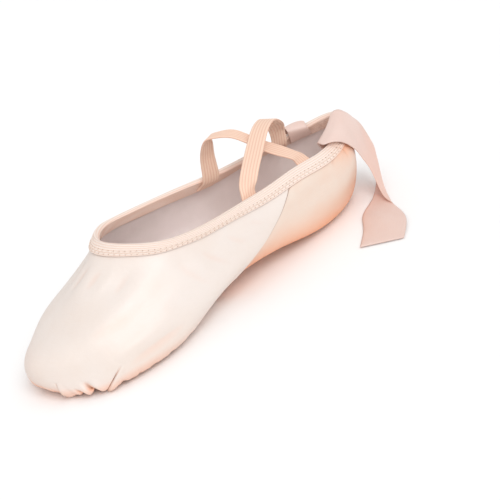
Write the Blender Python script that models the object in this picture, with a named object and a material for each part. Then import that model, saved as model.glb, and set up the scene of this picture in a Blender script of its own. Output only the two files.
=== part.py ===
"""A satin demi-pointe shoe, EU 38: a soft split-sole ballet slipper with elastics and ribbons.

The shoe stands on its two suede pads, toe towards -Y, heel towards +Y and +Z up. It is
straight-lasted, so it fits either foot. The origin is on the floor under the ball of the foot,
in the middle of the forefoot pad. Lengths in the tables are millimetres; the meshes are metres.
"""
import math

import bmesh
import bpy
import numpy as np
from mathutils import Vector

# ------------------------------------------------------------------ driving dimensions, mm
MM = 0.001
BALL = 70.0            # from the tip of the toe to the origin
PAD_THICK = 1.6        # suede of the two sole pads
GAP = 0.3              # between pieces that touch
ARCH_RISE = 5.9        # how far the satin waist is pulled up off the floor
ARCH_FRONT, ARCH_BACK = 102.0, 195.0
WALL = 1.5             # satin, canvas and cotton lining, sewn together
WALL_AT_COLLAR = 1.0
COLLAR_BLEND = 14.0    # the wall thins towards the collar over this depth
PLEATS_PER_STATION = 4
PLEAT_REACH = 3.2      # stations each way from the toe that are pleated
PLEAT_IN, PLEAT_OUT = 0.9, 0.7
OPENING = 0.55         # how much of the bottom, out to the pad's seam, is left open
OPEN_TO, OPEN_FROM = 3.375, 6.6   # stations where the forefoot opening ends, the heel one starts
BINDING_THICK = 0.8
# how far down the binding reaches at each station, from the toe to the heel
BINDING_DEEP = (8.0, 8.8, 10.4, 11.2, 10.2, 9.5, 9.2, 8.6, 7.6)
INSOLE_THICK = 1.5
INSOLE_EDGE = 1.7      # level that the insole's edge reaches
STRAP_WIDE, STRAP_THICK = 10.5, 1.2
RIBBON_THICK = 0.8

# The last: a row for each station round one side, from the toe to the heel. Each entry is
# (half width, distance from the toe, height) where the station crosses the named level.
LEVELS = ("centre line", "pad seam", "feather", "widest", "shoulder", "upper side", "collar")
LAST = (
    # one entry for each level, from the centre line under the shoe up to the collar
    ((0, 34, 1.9), (0, 17, 1.9), (0, 5, 3.2), (0, 2, 18.5), (0, 19, 28.2), (0, 45.3, 43.7), (0, 66, 59.8)),
    ((0, 42, 1.9), (16, 25.5, 1.9), (28, 17, 3.0), (24.5, 16, 12.6), (23.3, 30, 28.5), (16.7, 53, 41.5),
     (20.3, 77.5, 57)),
    ((0, 56, 1.9), (23, 47, 1.9), (38, 42, 2.8), (38.7, 41, 15.6), (33.2, 53, 28.8), (28.8, 72, 42.8),
     (27.5, 94, 53.5)),
    ((0, 80, 1.9), (23.5, 77, 1.9), (36.8, 76, 3.9), (41, 76, 15.5), (37.5, 84, 31.2), (32.5, 98, 41.2),
     (28, 117, 50.7)),
    ((0, 112, 3.2), (16.5, 112, 3.6), (24.5, 112, 7.8), (35.5, 112, 17.2), (35, 117, 29.8), (31.6, 126, 39),
     (25.5, 140, 48.9)),
    ((0, 148, 7.8), (12.5, 148, 8.2), (23, 148, 10.2), (29.9, 148, 19.4), (31, 150, 29.2), (29.4, 155, 38),
     (22.4, 162, 47.1)),
    ((0, 180, 3.4), (13.5, 183, 3.4), (23.2, 184, 5.2), (28.8, 184, 16.8), (29, 184, 30), (27.8, 185, 39.3),
     (19.7, 187, 46.2)),
    ((0, 200, 1.9), (11, 210, 1.9), (17.5, 214.7, 4.6), (22.2, 218, 17), (23.4, 219, 29), (21.6, 217.8, 39),
     (17, 214, 46.2)),
    ((0, 212, 1.9), (0, 223, 1.9), (0, 233.7, 4.2), (0, 239.7, 18), (0, 241, 31), (0, 240.4, 40),
     (0, 238.6, 51.0)),
)
STATIONS = 2 * (len(LAST) - 1)     # all the way round
COLLAR = len(LEVELS) - 1           # level of the collar's top edge
HEEL = STATIONS // 2

# Suede pads: egg outlines (front end, rear end, half width, how much fuller in front).
PADS = {
    "sole_forefoot": (18.0, 116.0, 29.0, 0.15),
    "sole_heel": (187.0, 221.5, 14.0, -0.10),
}

# Elastics over the instep. Each is sewn inside the collar at either end (toe side first): the
# first and last station, and the number of rungs. Between them it crosses over in rows of (x,
# from the toe, height, how far the strap's width is turned from the shoe's length towards its
# near side in degrees, how much higher its toe-side edge is than the other).
STRAPS = {
    "strap_over": ((4.22, 4.72, 3), ((18.4, 152.0, 52.0, 23, 0.5), (16.6, 156.2, 56.4, 34, 0.7),
                                     (12.0, 164.0, 60.5, 43, 0.7), (6.0, 173.8, 64.9, 56, 0.6),
                                     (0.5, 183.0, 68.1, 60, 0.5), (-5.0, 192.0, 67.7, 62, 0.6),
                                     (-9.5, 198.6, 63.6, 54, 0.8), (-13.0, 203.2, 57.4, 26, 0.8),
                                     (-15.4, 205.2, 51.5, 6, 0.3)), (9.5, 9.12, 3)),
    "strap_under": ((11.54, 11.05, 3), ((-19.8, 156.3, 58.1, 2, -0.5), (-17.8, 157.1, 66.4, -11, 1.0),
                                        (-16.0, 158.2, 71.2, -32, 1.5), (-13.0, 161.8, 71.9, -37, 1.2),
                                        (-8.5, 168.6, 70.3, -37, 0.2), (-3.5, 174.7, 65.0, -36, 0.4),
                                        (2.6, 181.4, 57.8, -35, -0.5), (7.5, 185.9, 53.7, -31, -0.7),
                                        (12.6, 190.9, 49.2, -28, 0.7), (14.4, 193.6, 45.6, -18, 0.3)),
                    (6.1, 6.5, 2)),
}
# The rungs that are sewn in, from the bottom: how far below the collar's edge, how far clear of the binding.
SEWN = ((6.0, 0.7), (3.0, 1.0), (-2.4, 1.8))

# Satin ribbons. Each is sewn inside the collar (first and last station, number of rungs), and
# then runs in rows of its front edge, its back edge, and the middle of the row where it curls.
NEAR_SEWN = (6.85, 7.55, 2)
NEAR_ROWS = (
    ((14.3, 208.5, 47.7), (3.2, 231.5, 52.3), (8.8, 221.2, 49.6)),
    ((19.2, 207.8, 48.4), (4.0, 235.4, 54.6), (12.4, 222.2, 51.0)),
    ((21.2, 212.4, 47.8), (5.0, 238.6, 53.2), (14.2, 226.2, 50.6)),
    ((21.6, 220.4, 44.0), (4.8, 243.2, 48.8), (13.8, 232.4, 46.9)),
    ((19.6, 227.6, 37.2), (3.2, 248.2, 43.0), (11.9, 238.4, 40.6)),
    ((16.8, 233.4, 30.6), (1.6, 253.8, 35.4)), ((15.4, 237.6, 22.8), (2.2, 257.6, 23.6)),
    ((18.6, 238.2, 16.8), (5.0, 256.2, 15.8), (11.6, 249.6, 15.4)),
    ((23.4, 236.4, 9.8), (10.2, 247.4, 2.6), (18.2, 245.0, 4.4)),
    ((30.0, 233.4, 3.8), (19.4, 235.4, 1.0), (26.4, 239.0, 1.6)),
    ((36.4, 232.0, 2.0), (24.4, 226.6, 0.9), (31.6, 233.8, 0.9)),
    ((46.0, 229.0, 1.0), (31.4, 213.6, 1.0), (39.6, 222.8, 1.6)),
    ((60.0, 220.6, 1.6), (43.2, 202.2, 1.0), (51.5, 211.5, 2.6)),
    ((72.6, 205.0, 1.0), (55.8, 186.6, 1.0)))
FAR_SEWN = (9.04, 8.66, 2)
FAR_ROWS = (
    ((-14.4, 211.6, 48.0), (-10.4, 223.4, 47.7)),
    ((-17.0, 212.2, 50.5), (-14.8, 225.4, 49.3), (-15.8, 220.8, 50.6)),
    ((-20.6, 212.4, 49.0), (-17.6, 228.0, 45.0), (-19.6, 221.6, 48.4)),
    ((-24.2, 212.5, 42.6), (-17.6, 233.4, 40.4), (-21.8, 223.6, 41.8)),
    ((-27.6, 212.5, 31.0), (-16.4, 237.8, 30.4), (-22.8, 225.7, 30.7)),
    ((-28.8, 213.0, 18.0), (-17.8, 239.0, 18.0)), ((-27.5, 215.0, 8.0), (-20.5, 239.4, 8.0)),
    ((-31.0, 217.0, 2.4), (-29.0, 242.0, 2.4)), ((-38.0, 217.0, 1.0), (-42.5, 241.6, 1.0)),
    ((-50.0, 211.0, 1.0), (-61.0, 233.5, 1.0)), ((-80.0, 194.0, 1.0), (-93.0, 215.5, 1.0)))


# ------------------------------------------------------------------ the last as a surface
def basis(f):
    """Uniform cubic B-spline weights at the fraction f of a span."""
    weights = [(1 - f) ** 3, 3 * f ** 3 - 6 * f ** 2 + 4, -3 * f ** 3 + 3 * f ** 2 + 3 * f + 1, f ** 3]
    return np.stack(weights) / 6.0


def closed_controls(points):
    """Control points of the closed curve that passes through the points."""
    count = len(points)
    turn = np.eye(count)
    return np.linalg.solve((4 * turn + np.roll(turn, 1, 0) + np.roll(turn, -1, 0)) / 6.0,
                           points.reshape(count, -1)).reshape(points.shape)


def open_controls(points, before, after):
    """Control points of the open curve through the points, with its two end controls given."""
    count = len(points)
    matrix = np.zeros((count, count + 2))
    for row in range(count):
        matrix[row, row:row + 3] = (1 / 6, 4 / 6, 1 / 6)
    known = points.reshape(count, -1) - (matrix[:, :1] * before.reshape(1, -1)
                                         + matrix[:, -1:] * after.reshape(1, -1))
    inner = np.linalg.solve(matrix[:, 1:-1], known).reshape(points.shape)
    return np.concatenate([before[None], inner, after[None]])


def whole_last():
    """All the stations, right round: the table and its mirror image."""
    side = np.array(LAST, float)
    mirrored = side[-2:0:-1] * (-1, 1, 1)
    return np.concatenate([side, mirrored]).transpose(1, 0, 2)      # level, station, xyz


def last_controls():
    rows = whole_last()
    below = 2 * rows[0] - rows[1]
    below[:, 2] = rows[1][:, 2]
    grid = open_controls(rows, below, 2 * rows[-1] - rows[-2])
    return closed_controls(grid.transpose(1, 0, 2))                 # station, level, xyz


CONTROLS = last_controls()


def arch_height(along):
    """Height of the shoe's satin underside: flat at the pads, drawn up between them."""
    turn = np.clip((along - ARCH_FRONT) / (ARCH_BACK - ARCH_FRONT), 0, 1)
    return PAD_THICK + GAP + ARCH_RISE * (1 - np.cos(2 * math.pi * turn)) / 2


def last_at(station, level):
    """Points of the outside of the shoe, as (x, from the toe, height); arrays are allowed."""
    station, level = np.broadcast_arrays(np.asarray(station, float), np.asarray(level, float))
    whole = np.floor(station).astype(int)
    across = basis(station - whole)
    low = np.clip(np.floor(level).astype(int), 0, COLLAR - 1)
    up = basis(level - low)
    point = np.zeros(station.shape + (3,))
    for i in range(4):
        for j in range(4):
            point += (across[i] * up[j])[..., None] * CONTROLS[(whole + i - 1) % STATIONS, low + j]
    flat = np.clip((1.3 - level) / 0.3, 0, 1)
    floor = arch_height(point[..., 1])
    point[..., 2] = flat * floor + (1 - flat) * np.maximum(point[..., 2], floor)
    return point


def outward(station, level):
    """Unit normals of the last, pointing out of the shoe."""
    step = 0.02
    round_it = last_at(station + step, level) - last_at(station - step, level)
    high, low = np.minimum(level + step, COLLAR), np.maximum(level - step, 0)
    up_it = last_at(station, high) - last_at(station, low)
    normal = np.cross(round_it, up_it)
    length = np.linalg.norm(normal, axis=-1, keepdims=True)
    normal = np.where(length > 1e-9, normal / np.maximum(length, 1e-9), (0, 0, -1.0))
    bottom = np.clip(1.0 - level, 0, 1)[..., None] > 0.3
    return np.where(bottom, (0, 0, -1.0), normal)


def level_below_collar(station, depth):
    """The level that lies the given depth below the collar's top edge, measured on the surface."""
    levels = np.linspace(COLLAR, 3.0, 61)
    line = last_at(station, levels)
    run = np.concatenate([[0], np.cumsum(np.linalg.norm(np.diff(line, axis=0), axis=1))])
    return float(np.interp(depth, run, levels))


def binding_reach(station):
    """How far below the collar's edge the binding reaches at this station."""
    away = min(station % STATIONS, -station % STATIONS)
    return float(np.interp(away, range(HEEL + 1), BINDING_DEEP))


def collar_point(station, below, inset):
    """A point on the collar, below its top edge and inset from the outside; below 0 is above it."""
    level = level_below_collar(station, max(below, 0.0))
    point = last_at(station, level) - inset * outward(np.array(station), np.array(level))
    return point + np.array((0, 0, max(-below, 0.0)))


def to_metres(point):
    return Vector((point[0] * MM, (point[1] - BALL) * MM, point[2] * MM))


# ------------------------------------------------------------------ making solids
def sheet_solid(name, columns, rows, front, back, closed=False, leave_out=None):
    """A sheet with a thickness: a grid of columns and rows whose two faces are given as
    functions of the column and row numbers. Faces that leave_out names become openings."""
    mesh = bpy.data.meshes.new(name)
    form = bmesh.new()
    bmesh.ops.create_grid(form, x_segments=columns, y_segments=rows - 1, size=1.0)
    column_of = form.verts.layers.int.new("column")
    row_of = form.verts.layers.int.new("row")
    for vert in form.verts:
        vert[column_of] = round((vert.co.x + 1) / 2 * columns)
        vert[row_of] = round((vert.co.y + 1) / 2 * (rows - 1))
        vert.co = to_metres(front(vert[column_of], vert[row_of]))
    if leave_out:
        cut = [face for face in form.faces
               if leave_out(min(v[column_of] for v in face.verts), min(v[row_of] for v in face.verts))]
        bmesh.ops.delete(form, geom=cut, context="FACES")
    if closed:
        bmesh.ops.remove_doubles(form, verts=form.verts[:], dist=1e-6)
    made = bmesh.ops.extrude_face_region(form, geom=form.faces[:], use_keep_orig=True)
    for item in made["geom"]:
        if isinstance(item, bmesh.types.BMVert):
            item.co = to_metres(back(item[column_of], item[row_of]))
    bmesh.ops.recalc_face_normals(form, faces=form.faces[:])
    form.to_mesh(mesh)
    form.free()
    mesh.shade_smooth()
    piece = bpy.data.objects.new(name, mesh)
    bpy.context.scene.collection.objects.link(piece)
    return piece


def finish(piece, colour, roughness, sheen=0.0):
    material = bpy.data.materials.new(piece.name)
    material.use_nodes = True
    shader = material.node_tree.nodes["Principled BSDF"]
    shader.inputs["Base Color"].default_value = (*colour, 1.0)
    shader.inputs["Roughness"].default_value = roughness
    shader.inputs["Metallic"].default_value = 0.0
    shader.inputs["Sheen Weight"].default_value = sheen
    piece.data.materials.append(material)


# ------------------------------------------------------------------ the upper
def upper_columns():
    """Stations of the upper's columns: close together where the toe is pleated."""
    fine = 2 * PLEATS_PER_STATION
    side = [i / fine for i in range(3 * fine + 1)]
    side += [3 + i / 4 for i in range(1, 4 * (HEEL - 3) + 1)]
    return side + [STATIONS - s for s in side[-2:0:-1]]


def make_upper():
    columns = upper_columns()
    low_levels = (0.0, OPENING, 1.0, 1.3, 1.65, 2.0, 2.35, 2.7, 3.1, 3.6)
    side_rows = 3
    levels = []
    for station in columns:
        depths = (binding_reach(station), 5.5, BINDING_THICK + GAP)
        top = level_below_collar(station, depths[0])
        between = np.linspace(low_levels[-1], top, side_rows + 1)[1:-1]
        levels.append(list(low_levels) + list(between)
                      + [level_below_collar(station, depth) for depth in depths])
    rows = len(levels[0])

    def pleat(number, level):
        """Folds gathered into the toe of the pad, alternately in and out, fading up the side."""
        station = columns[number]
        away = min(station, STATIONS - station)
        fade = np.clip((PLEAT_REACH - away) / 0.8, 0, 1)
        if level < 0.99 or level > 2.6 or fade == 0:
            return 0.0
        swell = math.sin(math.pi * min((level - 0.85) / 1.75, 1.0)) ** 0.7
        if number % 2:
            return -PLEAT_IN * fade * swell
        return PLEAT_OUT * fade * swell * np.clip((level - 1.15) / 0.4, 0, 1)

    def outside(column, row):
        station, level = columns[column % len(columns)], levels[column % len(columns)][row]
        push = pleat(column % len(columns), level)
        return last_at(station, level) + push * outward(np.array(station), np.array(level))

    def inside(column, row):
        station, level = columns[column % len(columns)], levels[column % len(columns)][row]
        depth = np.linalg.norm(last_at(station, level) - last_at(station, COLLAR))
        wall = WALL_AT_COLLAR + (WALL - WALL_AT_COLLAR) * np.clip(depth / COLLAR_BLEND - 0.5, 0, 1)
        return last_at(station, level) - wall * outward(np.array(station), np.array(level))

    def opening(column, row):
        middle = columns[column] + 0.01
        away = min(middle, STATIONS - middle)
        return row == 0 and (away < OPEN_TO or away > OPEN_FROM)

    piece = sheet_solid("upper", len(columns), rows, outside, inside, closed=True, leave_out=opening)
    finish(piece, (0.93, 0.80, 0.74), 0.35, 0.2)


def make_binding():
    """The ribbed elastic folded over the collar's edge, outside and in."""
    columns = [i / 4 for i in range(4 * STATIONS)]
    skin, thick, edge = BINDING_THICK, WALL_AT_COLLAR + 0.15, BINDING_THICK + GAP
    near, far = GAP + 0.12, -thick - GAP - 0.12
    # below the top edge (None: at the binding's edge), then how far out its two faces lie
    section = (
        (None, near, near + skin), (5.5, near, near + skin), (edge, near, near + skin),
        (edge, -thick / 2, -thick / 2), (edge, far, far - skin),
        (5.5, far, far - skin), (None, far, far - skin))
    top = 3

    def face(column, row, side):
        station = columns[column % len(columns)]
        below, *out = section[row]
        level = level_below_collar(station, binding_reach(station) if below is None else below)
        point = last_at(station, level) + out[side] * outward(np.array(station), np.array(level))
        rise = {top: (GAP, edge), top - 1: (GAP, 0.75), top + 1: (GAP, 0.75)}.get(row, (0.0, 0.0))
        upward = last_at(station, COLLAR) - last_at(station, level_below_collar(station, edge))
        return point + rise[side] * upward / np.linalg.norm(upward)

    piece = sheet_solid("collar_binding", len(columns), len(section), lambda c, r: face(c, r, 1),
                        lambda c, r: face(c, r, 0), closed=True)
    finish(piece, (0.93, 0.78, 0.70), 0.7)


def make_insole():
    """The cotton sock inside, from the toe to the heel."""
    columns = [i / 3 for i in range(3 * STATIONS)]
    levels = (0.0, 0.5, 1.0, 1.35, INSOLE_EDGE)
    seat = WALL + 2 * GAP

    def face(depth):
        def place(column, row):
            station = columns[column % len(columns)]
            point = last_at(station, levels[row])
            normal = outward(np.array(station), np.array(levels[row]))
            return point - depth * normal
        return place

    piece = sheet_solid("insole", len(columns), len(levels), face(seat), face(seat + INSOLE_THICK),
                        closed=True)
    finish(piece, (0.62, 0.55, 0.54), 0.9)


# ------------------------------------------------------------------ the suede pads
def make_pad(name, front_end, rear_end, half_width, fuller):
    sides, rings = 40, (0.0, 0.6, 0.8, 0.91, 1.0)
    middle, reach = (front_end + rear_end) / 2, (rear_end - front_end) / 2
    edge_round = 0.35

    def face(top):
        def place(column, row):
            turn = 2 * math.pi * column / sides
            ring = rings[row]
            along = middle - ring * reach * math.cos(turn)
            across = ring * half_width * math.sin(turn) * (1 + fuller * ring * math.cos(turn))
            height = arch_height(along) - GAP - (0 if top else PAD_THICK)
            rounding = edge_round if row == len(rings) - 1 else 0.0
            return (across, along, height + (-rounding if top else rounding))
        return place

    piece = sheet_solid(name, sides, len(rings), face(False), face(True), closed=True)
    finish(piece, (0.60, 0.42, 0.29), 0.95)


# ------------------------------------------------------------------ elastics and ribbons
def through(rows, steps):
    """A smooth open curve through the rows of a table, read at the given number of steps."""
    rows = np.array(rows, float)
    controls = open_controls(rows, 2 * rows[0] - rows[1], 2 * rows[-1] - rows[-2])
    points = []
    for where in np.linspace(0, len(rows) - 1, steps):
        span = min(int(where), len(rows) - 2)
        weight = basis(np.array(where - span))
        points.append(sum(weight[i] * controls[span + i] for i in range(4)))
    return np.array(points)


def sewn_rungs(place, thickness, points):
    """Rungs across a band's end, flat against the inside of the binding, from the bottom up."""
    first, last, count = place
    inset = WALL_AT_COLLAR + BINDING_THICK + 2 * GAP + thickness / 2
    return [[collar_point(station, below, inset + clear) for station in np.linspace(first, last, points)]
            for below, clear in SEWN[:count]]


def rung(row, points):
    """A rung across a band from its front edge to its back edge, by way of its middle if given."""
    first, last = np.array(row[0], float), np.array(row[1], float)
    middle = np.array(row[2], float) if len(row) == 3 else (first + last) / 2
    return [first * (1 - q) * (1 - 2 * q) + middle * 4 * q * (1 - q) + last * q * (2 * q - 1)
            for q in np.linspace(0, 1, points)]


def make_band(name, rungs, steps, thickness, colour, roughness, sheen=0.0):
    """A strap or ribbon: rungs of points across it, carried along a smooth curve."""
    lines = np.array(rungs, float)
    points = lines.shape[1]
    grid = np.stack([through(lines[:, q], steps) for q in range(points)], axis=1)
    flat = np.cross(np.gradient(grid, axis=0), np.gradient(grid, axis=1))
    flat /= np.linalg.norm(flat, axis=2, keepdims=True)

    def face(side):
        return lambda column, row: grid[row, column] + side * thickness / 2 * flat[row, column]

    piece = sheet_solid(name, points - 1, steps, face(1), face(-1))
    finish(piece, colour, roughness, sheen)


def make_strap(name, start, rows, end):
    points = 3
    across = []
    for x, along, height, turn, tilt in rows:
        half = STRAP_WIDE / 2 * np.array((math.sin(math.radians(turn)), math.cos(math.radians(turn)), 0))
        half[2] = -tilt / 2
        centre = np.array((x, along, height))
        across.append(rung((centre - half, centre + half), points))
    rungs = sewn_rungs(start, STRAP_THICK, points) + across + sewn_rungs(end, STRAP_THICK, points)[::-1]
    make_band(name, rungs, 34, STRAP_THICK, (0.94, 0.74, 0.62), 0.8)


def make_ribbon(name, rungs, steps):
    make_band(name, rungs, steps, RIBBON_THICK, (0.93, 0.80, 0.76), 0.3, 0.2)


def make_ribbons():
    points = 7
    near = sewn_rungs(NEAR_SEWN, RIBBON_THICK, points) + [rung(row, points) for row in NEAR_ROWS]
    far = sewn_rungs(FAR_SEWN, RIBBON_THICK, points) + [rung(row, points) for row in FAR_ROWS]
    make_ribbon("ribbon_near", near, 37)
    make_ribbon("ribbon_far", far, 41)


# ------------------------------------------------------------------ the shoe
def main():
    for item in list(bpy.data.objects):
        bpy.data.objects.remove(item)
    make_upper()
    make_binding()
    make_insole()
    for name, outline in PADS.items():
        make_pad(name, *outline)
    for name, table in STRAPS.items():
        make_strap(name, *table)
    make_ribbons()


main()
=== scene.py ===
"""Looks of the satin demi-pointe shoe: cloth, elastic, ribbons, suede, stitches, floor and light.

The last, the elastics and the ribbons follow the same tables as the solids. Lengths in the tables
are millimetres; a point is (across, distance from the toe, height) until to_metres turns it.
"""
import math

import bmesh
import bpy
import numpy as np
from mathutils import Euler, Matrix, Vector


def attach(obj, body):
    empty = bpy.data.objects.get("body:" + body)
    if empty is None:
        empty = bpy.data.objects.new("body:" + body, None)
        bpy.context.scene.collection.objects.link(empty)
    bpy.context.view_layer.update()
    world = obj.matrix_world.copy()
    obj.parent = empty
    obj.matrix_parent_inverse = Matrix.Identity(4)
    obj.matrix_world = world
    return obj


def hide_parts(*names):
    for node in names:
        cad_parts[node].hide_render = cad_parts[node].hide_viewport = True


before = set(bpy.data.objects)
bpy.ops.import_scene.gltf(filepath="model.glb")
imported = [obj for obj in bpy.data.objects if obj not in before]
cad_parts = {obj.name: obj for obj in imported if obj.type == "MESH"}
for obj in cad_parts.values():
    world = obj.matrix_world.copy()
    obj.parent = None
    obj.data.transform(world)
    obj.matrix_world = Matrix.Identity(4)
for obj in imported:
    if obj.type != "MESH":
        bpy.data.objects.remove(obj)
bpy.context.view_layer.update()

# -------- driving dimensions, mm
MM = 0.001
BALL = 70.0  # from the tip of the toe to the origin
GAP = 0.3
PAD_THICK = 1.6
ARCH_RISE = 5.9
ARCH_FRONT, ARCH_BACK = 102.0, 195.0
SATIN_THICK = 0.45
LINING_FACES = (1.12, 1.42)  # how far inside the satin's face the lining lies
TUCK_ROOM = 2.3  # how much further in it lies where the satin is gathered
COLLAR_WALL = 1.0
BINDING_THICK = 0.8
BINDING_CLEAR = GAP + 0.12  # between the binding and the collar that it is folded over
BINDING_SEAT = COLLAR_WALL + 0.15  # the collar's thickness as the binding takes it
# how far down the binding reaches at each station, from the toe to the heel
BINDING_DEEP = (8.0, 8.8, 10.4, 11.2, 10.2, 9.5, 9.2, 8.6, 7.6)
INSOLE_SEAT, INSOLE_THICK, INSOLE_EDGE = 2.1, 1.5, 1.7
STRAP_WIDE, STRAP_THICK = 10.5, 1.1
RIBBON_WIDE, RIBBON_THICK = 25.0, 0.5
TUCKED_UNDER = 2.0  # satin and lining end this far below the collar's edge
SEAM_REACH = 10.0  # the seam marks the satin over this distance, from 0 up to it at the seam
OFF_FLOOR, PAD_TOP = 0.35, 1.80  # how low the satin may sag, beside the forefoot pad and over it
RIBBON_ROOM = 0.8  # thickness that a ribbon's sewn end is given under the binding
LOW_ON_PAD = 0.12  # the pads' undersides lie this far clear of the floor

LEVELS = ("centre line", "pad seam", "feather", "widest", "shoulder", "upper side", "collar")
LAST = (
    # one entry for each level, from the centre line under the shoe up to the collar
    ((0, 34, 1.9), (0, 17, 1.9), (0, 5, 3.2), (0, 2, 18.5), (0, 19, 28.2), (0, 45.3, 43.7), (0, 66, 59.8)),
    ((0, 42, 1.9), (16, 25.5, 1.9), (28, 17, 3.0), (24.5, 16, 12.6), (23.3, 30, 28.5), (16.7, 53, 41.5),
     (20.3, 77.5, 57)),
    ((0, 56, 1.9), (23, 47, 1.9), (38, 42, 2.8), (38.7, 41, 15.6), (33.2, 53, 28.8), (28.8, 72, 42.8),
     (27.5, 94, 53.5)),
    ((0, 80, 1.9), (23.5, 77, 1.9), (36.8, 76, 3.9), (41, 76, 15.5), (37.5, 84, 31.2), (32.5, 98, 41.2),
     (28, 117, 50.7)),
    ((0, 112, 3.2), (16.5, 112, 3.6), (24.5, 112, 7.8), (35.5, 112, 17.2), (35, 117, 29.8), (31.6, 126, 39),
     (25.5, 140, 48.9)),
    ((0, 148, 7.8), (12.5, 148, 8.2), (23, 148, 10.2), (29.9, 148, 19.4), (31, 150, 29.2), (29.4, 155, 38),
     (22.4, 162, 47.1)),
    ((0, 180, 3.4), (13.5, 183, 3.4), (23.2, 184, 5.2), (28.8, 184, 16.8), (29, 184, 30), (27.8, 185, 39.3),
     (19.7, 187, 46.2)),
    ((0, 200, 1.9), (11, 210, 1.9), (17.5, 214.7, 4.6), (22.2, 218, 17), (23.4, 219, 29), (21.6, 217.8, 39),
     (17, 214, 46.2)),
    ((0, 212, 1.9), (0, 223, 1.9), (0, 233.7, 4.2), (0, 239.7, 18), (0, 241, 31), (0, 240.4, 40),
     (0, 238.6, 51.0)),
)
STATIONS = 2 * (len(LAST) - 1)
COLLAR = len(LEVELS) - 1
HEEL = STATIONS // 2

# Suede pads: front end, rear end, half width, how much fuller in front.
PADS = {
    "sole_forefoot": (18, 116, 29, 0.15),
    "sole_heel": (187, 221.5, 14, -0.10),
}

# Elastics, as in the solids: the stations and the number of rungs sewn in at the start, rows of
# (x, along, height, turn, tilt), and the same for the end.
STRAPS = {
    "strap_over": (
        (4.22, 4.72, 3),
        ((18.4, 152, 52, 23, 0.5), (16.6, 156.2, 56.4, 34, 0.7), (12, 164, 60.5, 43, 0.7),
         (6, 173.8, 64.9, 56, 0.6), (0.5, 183, 68.1, 60, 0.5), (-5, 192, 67.7, 62, 0.6),
         (-9.5, 198.6, 63.6, 54, 0.8), (-13, 203.2, 57.4, 26, 0.8), (-15.4, 205.2, 51.5, 6, 0.3)),
        (9.5, 9.12, 3)),
    "strap_under": (
        (11.54, 11.05, 3),
        ((-19.8, 156.3, 58.1, 2, -0.5), (-17.8, 157.1, 66.4, -11, 1), (-16, 158.2, 71.2, -32, 1.5),
         (-13, 161.8, 71.9, -37, 1.2), (-8.5, 168.6, 70.3, -37, 0.2), (-3.5, 174.7, 65, -36, 0.4),
         (2.6, 181.4, 57.8, -35, -0.5), (7.5, 185.9, 53.7, -31, -0.7), (12.6, 190.9, 49.2, -28, 0.7),
         (14.4, 193.6, 45.6, -18, 0.3)),
        (6.1, 6.5, 2)),
}
# The rungs that are sewn in, from the bottom: how far below the collar's edge, how far clear of the binding.
SEWN = ((6.0, 0.7), (3.0, 1.0), (-2.4, 1.8))

# Ribbons: the stations and number of rungs sewn in, then rows across them: the front edge, the
# back edge, and the middle between them where the ribbon curls.
NEAR_SEWN = (6.85, 7.55, 2)
NEAR_ROWS = (
    ((14.3, 208.5, 47.7), (3.2, 231.5, 52.3), (8.8, 221.2, 49.6)),
    ((19.2, 207.8, 48.4), (4, 235.4, 54.6), (12.4, 222.2, 51)),
    ((21.2, 212.4, 47.8), (5, 238.6, 53.2), (14.2, 226.2, 50.6)),
    ((21.6, 220.4, 44), (4.8, 243.2, 48.8), (13.8, 232.4, 46.9)),
    ((19.6, 227.6, 37.2), (3.2, 248.2, 43), (11.9, 238.4, 40.6)),
    ((16.8, 233.4, 30.6), (1.6, 253.8, 35.4)), ((15.4, 237.6, 22.8), (2.2, 257.6, 23.6)),
    ((18.6, 238.2, 16.8), (5, 256.2, 15.8), (11.6, 249.6, 15.4)),
    ((23.4, 236.4, 9.8), (10.2, 247.4, 2.6), (18.2, 245, 4.4)),
    ((30, 233.4, 3.8), (19.4, 235.4, 1), (26.4, 239, 1.6)),
    ((36.4, 232, 2), (24.4, 226.6, 0.9), (31.6, 233.8, 0.9)),
    ((46, 229, 1), (31.4, 213.6, 1), (39.6, 222.8, 1.6)),
    ((60, 220.6, 1.6), (43.2, 202.2, 1), (51.5, 211.5, 2.6)),
    ((72.6, 205, 1), (55.8, 186.6, 1)))
FAR_SEWN = (9.04, 8.66, 2)
FAR_ROWS = (
    ((-14.4, 211.6, 48), (-10.4, 223.4, 47.7)),
    ((-17, 212.2, 50.5), (-14.8, 225.4, 49.3), (-15.8, 220.8, 50.6)),
    ((-20.6, 212.4, 49), (-17.6, 228, 45), (-19.6, 221.6, 48.4)),
    ((-24.2, 212.5, 42.6), (-17.6, 233.4, 40.4), (-21.8, 223.6, 41.8)),
    ((-27.6, 212.5, 31), (-16.4, 237.8, 30.4), (-22.8, 225.7, 30.7)),
    ((-28.8, 213, 18), (-17.8, 239, 18)), ((-27.5, 215, 8), (-20.5, 239.4, 8)),
    ((-31, 217, 2.4), (-29, 242, 2.4)), ((-38, 217, 1), (-42.5, 241.6, 1)),
    ((-50, 211, 1), (-61, 233.5, 1)), ((-80, 194, 1), (-93, 215.5, 1)))

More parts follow.
